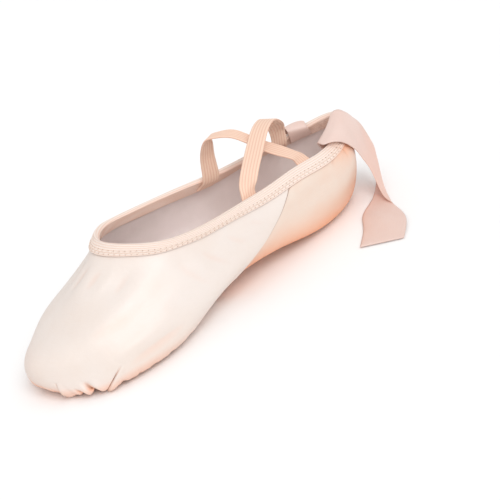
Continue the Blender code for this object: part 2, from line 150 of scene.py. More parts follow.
# Gathers of the satin into the edge of the forefoot pad: where each starts and ends round the toe
# (stations from its tip, near side positive), the level that it runs up to, how deep it is, how
# wide, and which way its upper lip laps over (0 for a plain tuck).
GATHERS = (
    (0.12, 0.1, 2.45, 0.9, 1.5, 0), (0.6, 0.55, 2.75, 3.4, 1.2, 1), (0.86, 0.82, 2.55, 1.6, 1.3, 0),
    (1.1, 1.04, 2.85, 2.8, 1.8, 0), (1.36, 1.78, 2.85, 3.4, 1.6, 1), (1.66, 1.64, 2.35, 0.7, 1.5, 0),
    (1.94, 2.02, 2.45, 0.4, 1.8, -1), (2.26, 2.32, 2.4, 0.35, 1.8, 0), (2.62, 2.68, 2.4, 0.3, 1.8, 0),
    (3.02, 3.06, 2.35, 0.3, 2, 0), (-0.14, -0.18, 2.65, 1.6, 1.5, -1), (-0.4, -0.42, 2.45, 1, 1.4, 0),
    (-0.64, -0.78, 2.75, 2.2, 1.5, -1), (-0.92, -0.92, 2.45, 1, 1.4, 0), (-1.16, -1.28, 2.7, 2.2, 1.5, 1),
    (-1.4, -1.4, 2.4, 0.9, 1.5, 0), (-1.62, -1.8, 2.8, 2.2, 1.6, -1), (-1.88, -1.88, 2.4, 0.8, 1.5, 0),
    (-2.14, -2.22, 2.5, 0.6, 1.6, 1), (-2.46, -2.48, 2.4, 0.4, 1.7, 0), (-2.84, -2.88, 2.4, 0.3, 1.8, 0),
)
GATHER_FROM = 1.6  # the level above which a gather starts to drift sideways

# Soft creases: where each starts and ends (station, level), its depth (a ridge is above 0) and width.
CREASES = (
    # fan below the front of the collar
    (-0.5, 5.45, -0.95, 4.85, -1, 2), (-0.25, 5.42, -0.72, 4.7, 0.7, 2.4),
    (-0.05, 5.45, -0.42, 4.8, -0.6, 2.2), (0.45, 5.42, 0.25, 4.9, -0.5, 2.4),
    (0.8, 5.4, 0.62, 4.85, 0.45, 2.6), (1.25, 5.35, 1.15, 4.8, -0.4, 2.6),
    # pulls that run from the near side of the collar down to the seam
    (2.45, 5.25, 3.7, 3.3, -0.4, 2.6), (2.75, 5.2, 3.95, 3.4, 0.35, 2.2),
    (3.05, 5.15, 4.12, 3.55, -0.45, 2), (3.35, 5.2, 4.32, 3.75, 0.35, 1.9),
    (3.65, 5.25, 4.52, 3.95, -0.4, 1.9), (3.98, 5.2, 4.72, 4.15, 0.3, 1.9),
    (4.3, 5.2, 4.9, 4.35, -0.35, 1.8),
    # broad hollows and swells of the vamp
    (1.62, 3.1, 2.9, 3.35, 1, 4.5), (1.8, 2.75, 3, 2.95, -0.8, 3.4), (0.3, 3.2, 1.1, 3.35, 0.6, 4.5),
    (0.9, 3.9, 2.2, 4.3, -0.5, 5), (-0.2, 4, 0.8, 3.6, 0.4, 5),
    # the heel part's near side
    (4.2, 2.2, 5.2, 3, -0.5, 5), (4.4, 1.6, 5.3, 2.3, 0.4, 4.5), (5.9, 2.6, 6.7, 2.2, -0.5, 4),
    (5.75, 5.2, 6.3, 4.4, 0.35, 3.4), (6, 4.9, 6.6, 4, -0.4, 3.6),
    # puckers round the back, where the ribbons draw the collar in
    (6.75, 5.35, 6.66, 4.7, -0.75, 1.5), (6.95, 5.38, 6.9, 4.55, 0.7, 1.5),
    (7.12, 5.36, 7.12, 4.4, -0.85, 1.4), (7.32, 5.38, 7.36, 4.65, 0.7, 1.5),
    (7.5, 5.36, 7.58, 4.6, -0.8, 1.5), (7.72, 5.38, 7.8, 4.75, 0.5, 1.6), (7.95, 5.36, 8, 4.7, -0.6, 1.6),
    (8.2, 5.38, 8.15, 4.8, 0.5, 1.7), (8.45, 5.36, 8.4, 4.7, -0.7, 1.6), (8.75, 5.38, 8.68, 4.75, 0.5, 1.6),
    (9.05, 5.36, 9, 4.75, -0.7, 1.6), (9.3, 5.36, 9.3, 4.8, 0.4, 1.7),
    # the far side, and the hollow under the tip of the toe
    (13.4, 5.25, 13.75, 4.3, -0.6, 3.2), (13, 5.2, 13.3, 4.1, 0.5, 3.2), (12.5, 5.2, 12.85, 4, -0.6, 3.2),
    (11.9, 5.25, 12.2, 4.05, 0.4, 3.2), (13.1, 3.35, 14.4, 3.1, 0.9, 4.5), (10.8, 3, 11.8, 2.2, -0.6, 5),
    (15.2, 3.35, 15.8, 3.2, 0.5, 4.5), (9.4, 2.2, 10.1, 2.6, -0.5, 4), (-0.4, 2, 0.8, 2, -0.9, 4.5),
)

# The seam between the vamp and the heel part, from the centre line under the arch to the collar.
SEAM = ((3.7, 0), (3.85, 0.5), (3.97, 1), (4.03, 1.5), (4.11, 2), (4.22, 2.4), (4.36, 2.72),
        (4.52, 2.94), (4.67, 3.1), (4.8, 3.26), (4.91, 3.43), (5.01, 3.63), (5.11, 3.86), (5.21, 4.11),
        (5.29, 4.38), (5.37, 4.71), (5.45, 5), (5.53, 5.26), (5.62, 5.55), (5.7, 6))


# -------- camera
def place_camera():
    """Above and in front of the toe, on the near side, rolled so that the shoe leans."""
    heading, down, roll = math.radians(146.537), math.radians(27.166), math.radians(-16.777)
    camera = bpy.data.objects.new("camera", bpy.data.cameras.new("camera"))
    camera.data.lens, camera.data.sensor_width = 100.91, 36.0
    camera.data.clip_start = 0.01
    level = Euler((math.pi / 2 - down, 0, heading - math.pi / 2)).to_matrix()
    camera.matrix_world = (Matrix.Translation((0.59381, -0.30947, 0.37002))
                           @ (level @ Matrix.Rotation(roll, 3, "Z")).to_4x4())
    bpy.context.scene.collection.objects.link(camera)
    bpy.context.scene.camera = camera


# -------- the last as a surface
def basis(f):
    """Uniform cubic B-spline weights at the fraction f of a span."""
    weights = [(1 - f) ** 3, 3 * f ** 3 - 6 * f ** 2 + 4, -3 * f ** 3 + 3 * f ** 2 + 3 * f + 1, f ** 3]
    return np.stack(weights) / 6.0


def closed_controls(points):
    """Control points of the closed curve that passes through the points."""
    count = len(points)
    turn = np.eye(count)
    return np.linalg.solve((4 * turn + np.roll(turn, 1, 0) + np.roll(turn, -1, 0)) / 6.0,
                           points.reshape(count, -1)).reshape(points.shape)


def open_controls(points, before, after):
    """Control points of the open curve through the points, with its two end controls given."""
    count = len(points)
    matrix = np.zeros((count, count + 2))
    for row in range(count):
        matrix[row, row:row + 3] = (1 / 6, 4 / 6, 1 / 6)
    known = points.reshape(count, -1) - (matrix[:, :1] * before.reshape(1, -1)
                                         + matrix[:, -1:] * after.reshape(1, -1))
    inner = np.linalg.solve(matrix[:, 1:-1], known).reshape(points.shape)
    return np.concatenate([before[None], inner, after[None]])


def last_controls():
    """Control points of the whole last: the table's side, its mirror image and a row past each end."""
    side = np.array(LAST, float)
    mirrored = side[-2:0:-1] * (-1, 1, 1)
    rows = np.concatenate([side, mirrored]).transpose(1, 0, 2)
    below = 2 * rows[0] - rows[1]
    below[:, 2] = rows[1][:, 2]
    grid = open_controls(rows, below, 2 * rows[-1] - rows[-2])
    return closed_controls(grid.transpose(1, 0, 2))


CONTROLS = last_controls()


def held(value):
    """The value, held between 0 and 1."""
    return np.clip(value, 0, 1)


def bell(value):
    """1 at the value 0, and less the further the value is from it."""
    return np.exp(-value ** 2)


def unit(vectors):
    """The vectors, each brought to length 1."""
    return vectors / np.maximum(np.linalg.norm(vectors, axis=-1, keepdims=True), 1e-9)


def arch_height(along):
    """Height of the shoe's satin underside: flat at the pads, drawn up between them."""
    turn = held((along - ARCH_FRONT) / (ARCH_BACK - ARCH_FRONT))
    return PAD_THICK + GAP + ARCH_RISE * (1 - np.cos(2 * math.pi * turn)) / 2


def last_at(station, level):
    """Points of the outside of the shoe, for arrays of stations and levels."""
    station, level = np.broadcast_arrays(station, level)
    whole = np.floor(station).astype(int)
    across = basis(station - whole)
    low = np.clip(np.floor(level).astype(int), 0, COLLAR - 1)
    up = basis(level - low)
    point = np.zeros(station.shape + (3,))
    for i in range(4):
        for j in range(4):
            point += (across[i] * up[j])[..., None] * CONTROLS[(whole + i - 1) % STATIONS, low + j]
    flat = held((1.3 - level) / 0.3)
    floor = arch_height(point[..., 1])
    point[..., 2] = flat * floor + (1 - flat) * np.maximum(point[..., 2], floor)
    return point


def outward(station, level):
    """Unit normals of the last, pointing out of the shoe, and straight down under it."""
    step = 0.02
    station, level = np.broadcast_arrays(station, level)
    round_it = last_at(station + step, level) - last_at(station - step, level)
    high, low = np.minimum(level + step, COLLAR), np.maximum(level - step, 0)
    normal = unit(np.cross(round_it, last_at(station, high) - last_at(station, low)))
    return np.where((level < 0.7)[..., None], (0, 0, -1.0), normal)


def walked(grid, axis=0):
    """How far each point of a line or grid lies from the first, measured along that axis, in mm."""
    steps = np.linalg.norm(np.diff(grid, axis=axis), axis=-1)
    return np.insert(np.cumsum(steps, axis=axis), 0, 0.0, axis=axis)


def level_below_collar(stations, depths):
    """The level that lies the given depth below the collar's edge, for each station."""
    stations, depths = np.broadcast_arrays(np.atleast_1d(stations), depths)
    levels = np.linspace(COLLAR, 3.0, 61)
    runs = walked(last_at(stations[:, None], levels), 1)
    return np.array([np.interp(depth, run, levels) for depth, run in zip(depths, runs)])


def from_toe(station):
    """How many stations it is from the tip of the toe, on either side."""
    return np.minimum(np.mod(station, STATIONS), np.mod(-station, STATIONS))


def binding_reach(stations):
    """How far below the collar's edge the binding reaches."""
    return np.interp(from_toe(stations), range(HEEL + 1), BINDING_DEEP)


def collar_point(station, below, inset):
    """A point on the collar, below its top edge and inset from the outside; below 0 is above it."""
    level = level_below_collar(station, max(below, 0.0))[0]
    point = last_at(station, level) - inset * outward(station, level)
    return point + np.array((0, 0, max(-below, 0.0)))


def to_metres(points):
    """Points of the tables, in mm from the toe, as metres from the origin under the ball."""
    return (np.asarray(points) - (0, BALL, 0)) * MM


# -------- making meshes
def link_mesh(name, form, material):
    """The bmesh becomes a smooth object of its own at the origin."""
    mesh = bpy.data.meshes.new(name)
    form.to_mesh(mesh)
    form.free()
    mesh.shade_smooth()
    mesh.materials.append(material)
    piece = bpy.data.objects.new(name, mesh)
    bpy.context.scene.collection.objects.link(piece)
    return piece


def stand_for(piece, slot, *nodes):
    """The piece rides on the one body and stands for the nodes, if any; the slot is not used."""
    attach(piece, "root")
    if nodes:
        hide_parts(*nodes)


def grid_piece(name, stands_for, front, back, material, cloth, closed=False, marks=None):
    """A sheet with a thickness, which stands for (slot, node). Front and back are grids of points
    on its two faces (no back: the front closes on itself) and cloth is the grid of its flat
    coordinates, all in mm. Marks are grids of named values for its material. Closed joins its ends."""
    columns, rows = front.shape[0] - 1, front.shape[1] - 1
    form = bmesh.new()
    bmesh.ops.create_grid(form, x_segments=columns, y_segments=rows, size=1.0)
    column_of, row_of = form.verts.layers.int.new("column"), form.verts.layers.int.new("row")
    layers = [(form.verts.layers.float.new(key), grid) for key, grid in (marks or {}).items()]
    where = np.array([vert.co[:2] for vert in form.verts])
    spots = np.rint((where + 1) / 2 * (columns, rows)).astype(int).tolist()
    places, flats = to_metres(front), cloth * MM
    for vert, (column, row) in zip(form.verts, spots):
        vert.co = places[column, row]
        vert[column_of], vert[row_of] = column, row
        for layer, grid in layers:
            vert[layer] = grid[column, row]
    flat = form.loops.layers.uv.new("cloth")
    for face in form.faces:
        for loop in face.loops:
            loop[flat].uv = flats[loop.vert[column_of], loop.vert[row_of]]
    if closed:
        bmesh.ops.remove_doubles(form, verts=form.verts[:], dist=1e-7)
    if back is not None:
        made = bmesh.ops.extrude_face_region(form, geom=form.faces[:], use_keep_orig=True)
        places = to_metres(back)
        for item in made["geom"]:
            if isinstance(item, bmesh.types.BMVert):
                item.co = places[item[column_of], item[row_of]]
    bmesh.ops.recalc_face_normals(form, faces=form.faces[:])
    piece = link_mesh(name, form, material)
    stand_for(piece, *stands_for)
    return piece


def laid_out(along, across):
    """A grid of flat coordinates, from how far along and how far across the cloth its points lie."""
    return np.stack(np.broadcast_arrays(along, across), axis=-1)


def make_thread(name, slot, runs, radius, material):
    """Stitches: a slim rounded bead of thread along each run of (start, end), in mm."""
    form = bmesh.new()
    for start, end in runs:
        start, end = Vector(to_metres(start)), Vector(to_metres(end))
        along = end - start
        turn = along.to_track_quat("Z", "Y").to_matrix().to_4x4()
        size = Matrix.Diagonal((radius * MM, radius * MM, along.length / 2 + radius * MM * 0.5, 1.0))
        bmesh.ops.create_icosphere(form, subdivisions=1, radius=1.0,
                                   matrix=Matrix.Translation((start + end) / 2) @ turn @ size)
    stand_for(link_mesh(name, form, material), slot)


# -------- materials
TO_MM = (1000.0, 1000.0, 1000.0)
PAINTED_FOLD_SHADE = (0.34, 0.15, 0.08)  # painted shade: satin darkened at the bottom of a gather, where shade falls
SEAM_LINE_AND_SHADOW = (0.34, 0.17, 0.10)  # the seam's dark line: its thread and cut edge on the vamp, painted contact shadow of the vamp's edge on the heel part
ELASTIC_SHADE_TONE = (0.92, 0.50, 0.35)  # painted shade: elastic in the puckers where the ribbon draws the binding in, and on the binding's inside face


class Finish:
    """A material's node tree, with short ways to add and join nodes."""

    def __init__(self, name, colour, roughness):
        self.material = bpy.data.materials.new(name)
        self.material.use_nodes = True
        self.tree = self.material.node_tree
        self.shader = self.tree.nodes["Principled BSDF"]
        self.shader.inputs["Base Color"].default_value = (*colour, 1.0)
        self.shader.inputs["Roughness"].default_value = roughness

    def node(self, kind, inputs=None, **settings):
        made = self.tree.nodes.new("ShaderNode" + kind)
        for key, value in settings.items():
            setattr(made, key, value)
        for key, value in (inputs or {}).items():
            if isinstance(value, bpy.types.NodeSocket):
                self.tree.links.new(value, made.inputs[key])
            else:
                made.inputs[key].default_value = value
        return made

    def math(self, operation, first, second=0.0, third=0.0):
        return self.node("Math", {0: first, 1: second, 2: third}, operation=operation).outputs[0]

    def flat(self):
        """The cloth's own flat coordinates, in millimetres."""
        return self.stretched(self.node("UVMap", uv_map="cloth").outputs[0], TO_MM)

    def place(self):
        """The place on the shoe, in millimetres."""
        return self.stretched(self.node("TexCoord").outputs["Object"], TO_MM)

    def stretched(self, vector, scale):
        return self.node("VectorMath", {0: vector, 1: scale}, operation="MULTIPLY").outputs[0]

    def parts(self, vector):
        return self.node("SeparateXYZ", {0: vector}).outputs

    def mark(self, name):
        """A value that the piece's own mesh carries."""
        return self.node("Attribute", attribute_name=name).outputs["Fac"]

    def noise(self, vector, scale, detail, roughness=0.5):
        inputs = {"Vector": vector, "Scale": scale, "Detail": detail, "Roughness": roughness}
        return self.node("TexNoise", inputs).outputs["Fac"]

    def spread(self, value, low, high, to_low=0.0, to_high=1.0):
        """The value's range from low to high, brought to another range and held there."""
        made = self.node("MapRange", {"Value": value, "From Min": low, "From Max": high,
                                      "To Min": to_low, "To Max": to_high})
        return made.outputs["Result"]

    def blend(self, amount, first, second):
        """From the first colour to the second as the amount goes from 0 to 1."""
        first, second = (colour if isinstance(colour, bpy.types.NodeSocket) else (*colour, 1.0)
                         for colour in (first, second))
        return self.node("Mix", {0: amount, 6: first, 7: second}, data_type="RGBA").outputs[2]

    def colour(self, socket):
        self.tree.links.new(socket, self.shader.inputs["Base Color"])

    def rough(self, socket):
        self.tree.links.new(socket, self.shader.inputs["Roughness"])

    def bump(self, height, distance, strength, below=None):
        """Raises the surface by height, up to distance in mm."""
        inputs = {"Height": height, "Distance": distance * MM, "Strength": strength}
        if below is not None:
            inputs["Normal"] = below
        made = self.node("Bump", inputs).outputs["Normal"]
        self.tree.links.new(made, self.shader.inputs["Normal"])
        return made

    def sheen(self, weight, tint, roughness):
        self.shader.inputs["Sheen Weight"].default_value = weight
        self.shader.inputs["Sheen Tint"].default_value = (*tint, 1.0)
        self.shader.inputs["Sheen Roughness"].default_value = roughness


def lines(finish, across, pitch):
    """Ridges side by side along the cloth: 1 on each ridge's top, 0 between two."""
    turn = finish.math("MULTIPLY", across, 2 * math.pi / pitch)
    return finish.math("MULTIPLY_ADD", finish.math("COSINE", turn), 0.5, 0.5)


def satin(name, pale, deep, warm_shade, gloss=1.9):
    """Satin: cloudy, with streaks and threads along the cloth; where its marks say, it takes painted shade
    and bounced light in a warmer colour, painted shade at the bottom of gathers, and the seam's dark line.
    """
    finish = Finish(name, pale, 0.45)
    cloth = finish.flat()
    cloudy = finish.noise(finish.place(), 0.035, 3.0)
    streaks = finish.noise(finish.stretched(cloth, (0.12, 3.0, 1.0)), 1.0, 3.0)
    tone = finish.math("ADD", finish.math("MULTIPLY", cloudy, 0.7), finish.math("MULTIPLY", streaks, 0.3))
    colour = finish.blend(finish.spread(tone, 0.35, 0.65), pale, deep)
    # painted shade and bounced light, in a warmer colour, where the warm mark says
    colour = finish.blend(finish.mark("warm_shade"), colour, warm_shade)
    # painted shade at the bottom of each gather, where the fold mark says
    colour = finish.blend(finish.spread(finish.mark("fold"), 0.15, 0.9, 0.0, 0.9), colour, PAINTED_FOLD_SHADE)
    # the seam's dark line: thread and cut edge on the vamp, painted contact shadow on the heel part
    groove = finish.spread(finish.mark("near_seam"), SEAM_REACH - 0.85, SEAM_REACH - 0.35, 0.0, 0.85)
    finish.colour(finish.blend(groove, colour, SEAM_LINE_AND_SHADOW))
    finish.rough(finish.spread(streaks, 0.3, 0.7, 0.40, 0.52))
    threads = finish.noise(finish.stretched(cloth, (0.5, 5.0, 1.0)), 1.0, 2.0)
    shaped = finish.bump(threads, 0.05, 0.35)
    rumpled = finish.bump(finish.noise(finish.place(), 0.09, 2.0), 0.9, 0.35, shaped)
    finish.bump(finish.noise(finish.place(), 0.32, 3.0), 0.35, 0.3, rumpled)
    finish.shader.inputs["IOR"].default_value = gloss
    finish.shader.inputs["Anisotropic"].default_value = 0.35
    return finish.material


def elastic(name, pale, deep, pitch):
    """Woven elastic, deeper in tone between its ribs, which is painted shade in the grooves, and warmer
    where its mark paints shade.
    """
    finish = Finish(name, pale, 0.72)
    cloth = finish.flat()
    along, across, _ = finish.parts(cloth)
    rib = lines(finish, across, pitch)
    weave = lines(finish, along, 0.55)
    fuzz = finish.noise(finish.stretched(cloth, (2.0, 2.0, 1.0)), 1.0, 3.0)
    # painted shade: deeper colour in the grooves between the ribs
    colour = finish.blend(finish.spread(rib, 0.05, 0.6), deep, pale)
    colour = finish.blend(finish.spread(fuzz, 0.3, 0.8, 0.0, 0.25), colour, deep)
    # painted shade in a warmer colour, where the mark says
    colour = finish.blend(finish.mark("warm_shade"), colour, ELASTIC_SHADE_TONE)
    height = finish.math("ADD", finish.math("MULTIPLY", weave, 0.4), finish.math("MULTIPLY", fuzz, 0.6))
    finish.bump(height, 0.12, 0.5)
    finish.colour(colour)
    finish.sheen(0.3, (1.0, 0.85, 0.75), 0.5)
    return finish.material


def cotton(name, pale, deep):
    """Plain woven cotton, slightly rumpled."""
    finish = Finish(name, pale, 0.9)
    cloth = finish.flat()
    along, across, _ = finish.parts(cloth)
    weave = finish.math("MULTIPLY", lines(finish, along, 0.7), lines(finish, across, 0.7))
    cloudy = finish.noise(finish.place(), 0.06, 4.0, 0.6)
    colour = finish.blend(finish.spread(cloudy, 0.3, 0.7), pale, deep)
    finish.colour(finish.blend(finish.spread(weave, 0.0, 1.0, 0.18, 0.0), colour, deep))
    shaped = finish.bump(weave, 0.12, 0.4)
    finish.bump(finish.noise(finish.place(), 0.12, 2.0), 1.2, 0.35, shaped)
    return finish.material


def suede(name, pale, deep):
    """Split suede: a fine nap, worn in patches."""
    finish = Finish(name, pale, 0.95)
    spot = finish.place()
    nap = finish.noise(spot, 1.6, 6.0, 0.7)
    worn = finish.noise(spot, 0.07, 4.0, 0.6)
    colour = finish.blend(finish.spread(nap, 0.3, 0.7), deep, pale)
    finish.colour(finish.blend(finish.spread(worn, 0.4, 0.7, 0.0, 0.35), colour, deep))
    finish.bump(nap, 0.25, 0.6)
    finish.sheen(0.35, (1.0, 0.82, 0.62), 0.6)
    return finish.material


def thread(name, colour):
    """Twisted sewing thread."""
    finish = Finish(name, colour, 0.6)
    twist = finish.noise(finish.stretched(finish.place(), (4.0, 4.0, 4.0)), 1.0, 2.0)
    finish.colour(finish.blend(finish.spread(twist, 0.3, 0.7), colour, tuple(0.8 * c for c in colour)))
    finish.bump(twist, 0.05, 0.4)
    return finish.material


def make_materials():
    return {
        # the vamp and the heel part are one dye: the heel part's deeper colours are painted shade, for the
        # weaker sheen of satin cut the other way; each warm colour is the painted shade and bounced light
        # that its warm mark carries
        "vamp": satin("vamp_satin", (0.82, 0.735, 0.685), (0.80, 0.69, 0.62), (0.88, 0.45, 0.29), 1.78),
        "heel": satin("heel_satin", (0.80, 0.69, 0.60), (0.80, 0.61, 0.50), (0.90, 0.42, 0.23)),
        "ribbon": satin("ribbon_satin", (0.81, 0.64, 0.58), (0.77, 0.57, 0.50), (0.78, 0.42, 0.31)),
        "binding": elastic("binding_elastic", (0.90, 0.79, 0.72), (0.82, 0.63, 0.53), 1.5),
        "strap": elastic("strap_elastic", (0.91, 0.665, 0.52), (0.81, 0.515, 0.39), 1.75),
        "lining": cotton("cotton_lining", (0.92, 0.82, 0.80), (0.85, 0.76, 0.73)),
        "suede": suede("tan_suede", (0.64, 0.42, 0.26), (0.53, 0.33, 0.19)),
        "pale_thread": thread("pale_thread", (0.92, 0.88, 0.80)),
        "peach_thread": thread("peach_thread", (0.91, 0.75, 0.65)),
        # painted shade: the dark colour of the beads sunk into the binding's needle holes
        "hole": thread("needle_hole_shade", (0.50, 0.27, 0.17)),
    }


# -------- the satin upper
def seam_path(count):
    """Points of the seam as (station, level), evenly spread from the centre line to the collar."""
    knots = through(np.array([(station, level, 0.0) for station, level in SEAM]), 400)[:, :2]
    length = walked(last_at(knots[:, 0], knots[:, 1]))
    even = np.linspace(0, length[-1], count)
    return np.interp(even, length, knots[:, 0]), np.interp(even, length, knots[:, 1])


def gathered(signed, level):
    """How the gathers move the satin, in mm: away from the last, and round it; and where the
    bottom of each fold lies, from 0 to 1."""
    step = 0.05
    stride = last_at(signed + step, level) - last_at(signed - step, level)
    mm_a_station = np.linalg.norm(stride, axis=-1) / (2 * step)
    stand, slip, fold = np.zeros((3, *signed.shape))
    for start, end, top, deep, width, lap in GATHERS:
        drift = held((level - GATHER_FROM) / (top - GATHER_FROM)) ** 2
        away = (signed - start - (end - start) * drift) * mm_a_station
        fade = held((level - 1.0) / 0.3) * held((top - level) / (0.32 * (top - 1.2))) ** 0.8
        depth = deep * fade
        if lap == 0:
            swells = 0.2 * bell((np.abs(away) - 2.0 * width) / width)
            stand -= depth * (bell(away / width) - swells)
            bottom = away / (0.6 * width)
        else:
            lip = away * lap
            ridge, groove = bell((lip - 0.9 * width) / width), bell((lip + 0.35 * width) / (0.6 * width))
            stand += depth * (0.5 * ridge - 0.85 * groove)
            slip -= lap * depth * 0.85 * bell((lip - 0.7 * width) / (0.95 * width))
            edge = np.maximum(0.85 * depth - 0.7 * width, 0.4 * width)
            bottom = (lip + edge + 0.2) / 0.6
        fold = np.maximum(fold, fade * min(deep / 2, 1) * bell(bottom))
    return np.clip(stand, -2.6, 1.5), slip, fold


def tuck_room(station, level):
    """How much further in the lining and the insole lie, clear of the gathers round the toe."""
    return TUCK_ROOM * (held((3.4 - from_toe(station)) / 0.8) * held((level - 0.9) / 0.3)
                        * held((3.2 - level) / 0.5))


def from_line(points, path):
    """Distance of each point from a polyline, and how far along it the nearest place is (0 to 1)."""
    best, where = np.full(len(points), 1e9), np.zeros(len(points))
    spans = len(path) - 1
    for number in range(spans):
        start, run = path[number], path[number + 1] - path[number]
        share = held((points - start) @ run / (run @ run))
        away = np.linalg.norm(points - start - share[:, None] * run, axis=1)
        nearer = away < best
        best[nearer], where[nearer] = away[nearer], (number + share[nearer]) / spans
    return best, where


def creased(points):
    """How far the soft creases push the satin out, in mm."""
    total = np.zeros(len(points))
    for first, low, last, high, deep, width in CREASES:
        share = np.linspace(0, 1, 6)
        path = last_at(first + (last - first) * share, low + (high - low) * share)
        away, where = from_line(points, path)
        total += deep * bell(away / width) * np.sin(math.pi * np.clip(where, 0.04, 0.96)) ** 0.7
    return total


def over_pad(points):
    """1 where a point lies over the forefoot pad, fading to 0 round its edge."""
    front_end, rear_end, half_width, fuller = PADS["sole_forefoot"]
    along = (points[..., 1] - (front_end + rear_end) / 2) / ((rear_end - front_end) / 2)
    across = points[..., 0] / (half_width * (1 - fuller * along))
    return held((1.10 - np.hypot(along, across)) / 0.06)


def satin_face(station, level, lifted):
    """The outer face of the satin, creased and gathered, for a grid of stations and levels: its
    points, the last's normals, how far creases and gathers move it and where its folds lie."""
    signed = np.where(station > HEEL, station - STATIONS, station)
    stand, slip, fold = gathered(signed, level)
    bare, normal = last_at(station, level), outward(station, level)
    step = 0.03
    round_it = unit(last_at(station + step, level) - last_at(station - step, level))
    stand = stand + creased(bare.reshape(-1, 3)).reshape(station.shape)
    free = held((level - 0.9) / 0.15) * (1 - held((level - 5.35) / 0.25))
    stand = stand * free + lifted
    face = bare + stand[..., None] * normal + slip[..., None] * round_it
    face[..., 2] = np.maximum(face[..., 2], OFF_FLOOR + (PAD_TOP - OFF_FLOOR) * over_pad(face))
    return face, normal, stand, fold


def cloth_piece(name, face, normal, finish, warm_shade, fold, lap=0.0):
    """A satin piece from a grid of its outer face, with its wall inside. Its warm shade is how far it takes
    the deeper tone of painted shade and bounced light, fold where painted shade darkens the bottom of a
    gather, lap how far the seam lies inside its two ends."""
    up, ring, run = walked(face, 1), walked(face[:, face.shape[1] // 2]), walked(face)
    # where the seam's dark line goes: at the vamp's own edge, and on the heel part as painted contact shadow
    # where the vamp laps over it
    near_seam = np.maximum(SEAM_REACH - np.abs(np.minimum(run, run[-1:] - run) - lap), 0)
    marks = {"warm_shade": held(warm_shade), "near_seam": near_seam, "fold": held(fold)}
    grid_piece(name, ("satin", "upper"), face, face - SATIN_THICK * normal, finish,
               laid_out(ring[:, None], up), marks=marks)


def levels_to_seam(across, station, middle, seam, steep):
    """Levels for a grid from seam to seam: the middle's round the shoe, the seam's towards its ends,
    and all of them kept under the binding's fold."""
    near_seam = np.abs(across)[:, None] ** steep
    level = middle * (1 - near_seam) + seam * near_seam
    tops = level_below_collar(station[:, -1], TUCKED_UNDER)
    return np.minimum(level, tops[:, None] - (1 - np.linspace(0, 1, len(middle))) * 0.05)


def make_vamp(finishes):
    """The front of the shoe, round the toe from seam to seam, lapped over the heel part."""
    around, rows = 456, 108
    half_round = 205  # from the tip of the toe round to the seam, about
    seam_s, seam_l = seam_path(rows + 1)
    toe_l = np.interp(np.linspace(0, 1, rows + 1), (0, 0.06, 0.62, 1), (0.5, 1.0, 3.1, COLLAR))
    across = np.linspace(-1, 1, around + 1)
    across = across * (0.62 + 0.38 * across ** 2)
    station = across[:, None] * seam_s
    level = levels_to_seam(across, station, toe_l, seam_l, 5)
    edge = (1 - np.abs(across)) * half_round
    folded = 0.30 + 0.22 * bell(edge / 3.0) - 0.30 * bell(edge / 0.5)
    shown = held((level - 0.9) / 0.15) * (1 - held((level - 5.1) / 0.3))
    lifted = (folded * held(1.6 - edge / 12))[:, None] * shown
    face, normal, stand, fold = satin_face(station, level, lifted)
    # painted shade and bounced light, which the warm mark carries: shade on the toe's tip, turned from the
    # key light; shade on the turned-under strip round the toe's rim; warm bounce light low down near the
    # sole; shade in the hollows of the gathers
    round_toe = held(3.2 - np.abs(station))
    tip = 0.14 * bell((station + 0.7) / 0.9) * held((3.9 - level) / 0.9)
    rim = 0.32 * round_toe * held((2.55 - level) / 0.25)
    low = 0.45 * held((2.8 - level) / 1.2) ** 1.3
    hollow = 0.75 * held(-stand / 1.8 - 0.1)
    cloth_piece("satin_vamp", face, normal, finishes["vamp"], tip + rim + low + hollow, fold)


def make_heel_part(finishes):
    """The back of the shoe, round the heel from seam to seam, and the arch down to its middle."""
    around, rows = 260, 100
    half_round = 105  # from the back of the heel round to the seam, about
    tuck = 0.13  # stations that it reaches under the vamp
    seam_s, seam_l = seam_path(rows + 1)
    heel_l = np.interp(np.linspace(0, 1, rows + 1), (0, 0.30, 1), (0.0, 2.0, COLLAR))
    across = np.linspace(-1, 1, around + 1)
    station = HEEL + across[:, None] * (HEEL - seam_s + tuck)
    level = levels_to_seam(across, station, heel_l, seam_l, 4)
    edge = (1 - np.abs(across)) * half_round
    deeper = held((1.05 - level) / 0.15) + held((level - 5.1) / 0.3)
    lifted = -held((9 - edge) / 5)[:, None] * (0.30 + 0.32 * deeper)
    face, normal, stand, fold = satin_face(station, level, lifted)
    # painted shade and bounced light, which the warm mark carries: warm bounce light and shade low down near
    # the sole, shade in the creases' hollows, shade under the near ribbon at the top of the back, and shade
    # round the back of the heel, which turns from the light
    low = held((3.7 - level) / 1.6) ** 1.4
    hollow = 0.12 * held(-stand)
    shade_under_ribbon = 0.85 * bell((station - 7.3) / 0.55) * held((level - 3.9) / 1.2)
    round_back = 0.32 * bell((station - HEEL) / 0.75)
    lap = np.linalg.norm(face[0] - last_at(seam_s, level[0]), axis=1)
    warm_shade = low + hollow + shade_under_ribbon + round_back
    cloth_piece("satin_heel_part", face, normal, finishes["heel"], warm_shade, fold, lap + 0.3)


def make_arch_stitches(finishes):
    """A zigzag on each side of the middle seam under the arch."""
    along = np.arange(119.0, 184.0, 0.95)
    from_seam, half_wide, sunk = 2.7, 0.75, 0.12
    runs = []
    for side in (-1, 1):
        across = side * (from_seam + half_wide * np.where(np.arange(len(along)) % 2 == 0, 1, -1))
        points = np.stack([across, along, arch_height(along) - sunk], axis=1)
        runs += zip(points[:-1], points[1:])
    make_thread("arch_zigzag", "satin", runs, 0.16, finishes["pale_thread"])


